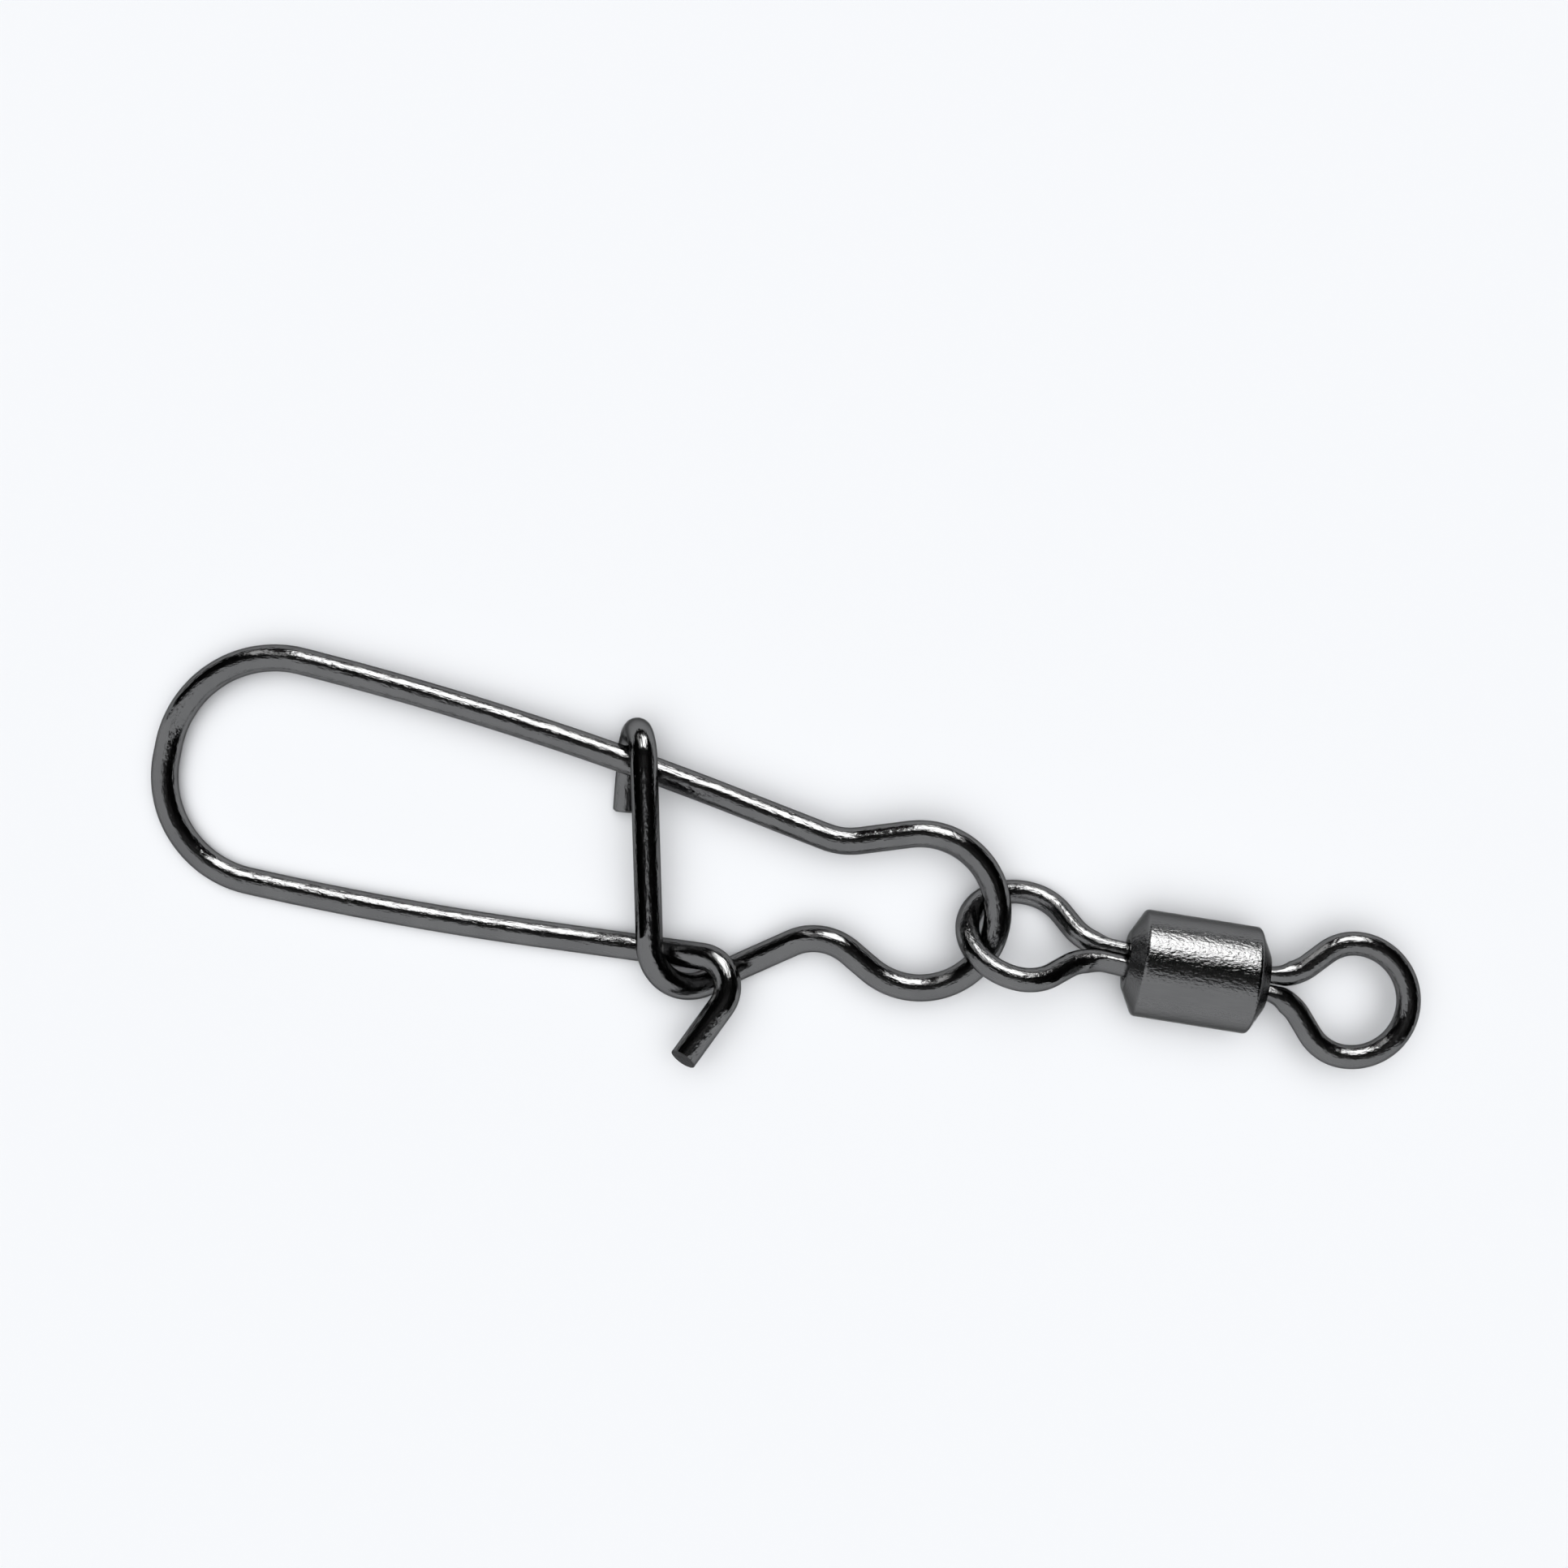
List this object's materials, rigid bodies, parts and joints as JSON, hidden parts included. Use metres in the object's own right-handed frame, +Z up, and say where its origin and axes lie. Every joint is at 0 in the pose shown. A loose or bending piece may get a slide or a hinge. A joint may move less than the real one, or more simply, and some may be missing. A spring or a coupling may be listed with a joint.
{
  "type": "fishing snap swivel",
  "caption": "Fishing snap swivel: a spring snap bent from wire, its long bail closed by interlocking hooks, linked to a rolling barrel swivel that carries the line eye.",
  "frame": {"origin": "the middle of the snap swivel's footprint, on the ground it lies on", "axes": "+X along the swivel's axis, from the snap's bail toward the line eye; +Y toward the snap's upper leg, which the crossbar hooks over; +Z up from the ground"},
  "size_m": [0.052, 0.0142, 0.0043],
  "materials": {
    "snap": "bright black nickel plating",
    "snap_side_eye": "bright black nickel plating",
    "swivel_barrel": "satin black nickel plating with fine turning marks",
    "line_side_eye": "bright black nickel plating"
  },
  "bodies": {
    "snap": {"snap": "snap"},
    "link_eye": {"snap_side_eye": "snap_side_eye"},
    "barrel": {"swivel_barrel": "swivel_barrel"},
    "line_eye": {"line_side_eye": "line_side_eye"}
  },
  "joints": [
    {"name": "link_ride", "type": "hinge", "parent": "snap", "child": "link_eye", "pos_m": [0.00561, 0.00056, 0.00208], "axis": [-0.0412, -0.0945, 0.9947], "range_deg": [-90, 90]},
    {"name": "barrel_spin", "type": "hinge", "parent": "link_eye", "child": "barrel", "pos_m": [0.01691, -0.00008, 0.00216], "axis": [1, 0, 0], "continuous": true},
    {"name": "line_eye_spin", "type": "hinge", "parent": "barrel", "child": "line_eye", "pos_m": [0.01691, -0.00008, 0.00216], "axis": [1, 0, 0], "continuous": true}
  ]
}
